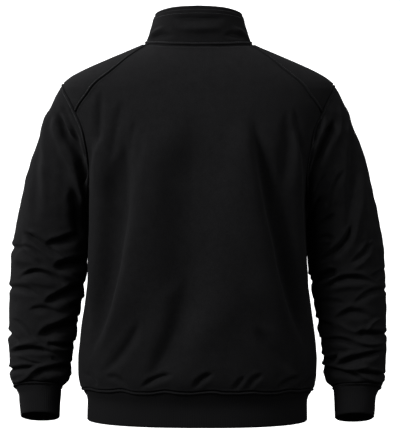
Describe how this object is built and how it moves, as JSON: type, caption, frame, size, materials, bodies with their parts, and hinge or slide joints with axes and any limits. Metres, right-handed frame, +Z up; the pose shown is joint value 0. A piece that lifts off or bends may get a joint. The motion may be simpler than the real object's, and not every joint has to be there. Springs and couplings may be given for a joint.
{
  "type": "quarter-zip fleece",
  "caption": "Fleece pullover with stand collar, front neck zip, shoulder yokes, long gathered sleeves, rib cuffs and rib hem band, filled out as worn.",
  "frame": {"origin": "middle of the neck opening, level with the points where the shoulders meet the sides of the collar, where the garment hangs from the wearer", "axes": "+Z is up, -Y is the front and +X is the wearer's left"},
  "size_m": [0.711, 0.26, 0.7736],
  "materials": {
    "fleece": "matte",
    "rib": "matte",
    "zip_tape": "matte",
    "zip_coil": "satin",
    "painted_metal": "satin"
  },
  "bodies": {
    "garment": {"back_panel": "fleece", "front_panel": "fleece", "shoulder_yoke_left": "fleece", "shoulder_yoke_right": "fleece", "sleeve_left": "fleece", "sleeve_right": "fleece", "elbow_left": "fleece", "elbow_right": "fleece", "forearm_left": "fleece", "forearm_right": "fleece", "sleeve_end_left": "fleece", "sleeve_end_right": "fleece", "cuff_left": "rib", "cuff_right": "rib", "hem_band": "rib", "collar": "fleece", "collar_facing": "fleece", "zip_tape_left": "zip_tape", "zip_tape_right": "zip_tape", "zip_chain": "zip_coil", "zip_slider": "painted_metal", "zip_bottom_stop": "painted_metal"},
    "zip_pull": {"zip_pull": "painted_metal"}
  },
  "joints": [
    {"name": "pull_swing", "type": "hinge", "parent": "garment", "child": "zip_pull", "pos_m": [0, -0.0754, -0.0155], "axis": [-1, 0, 0], "range_deg": [0, 150]}
  ]
}
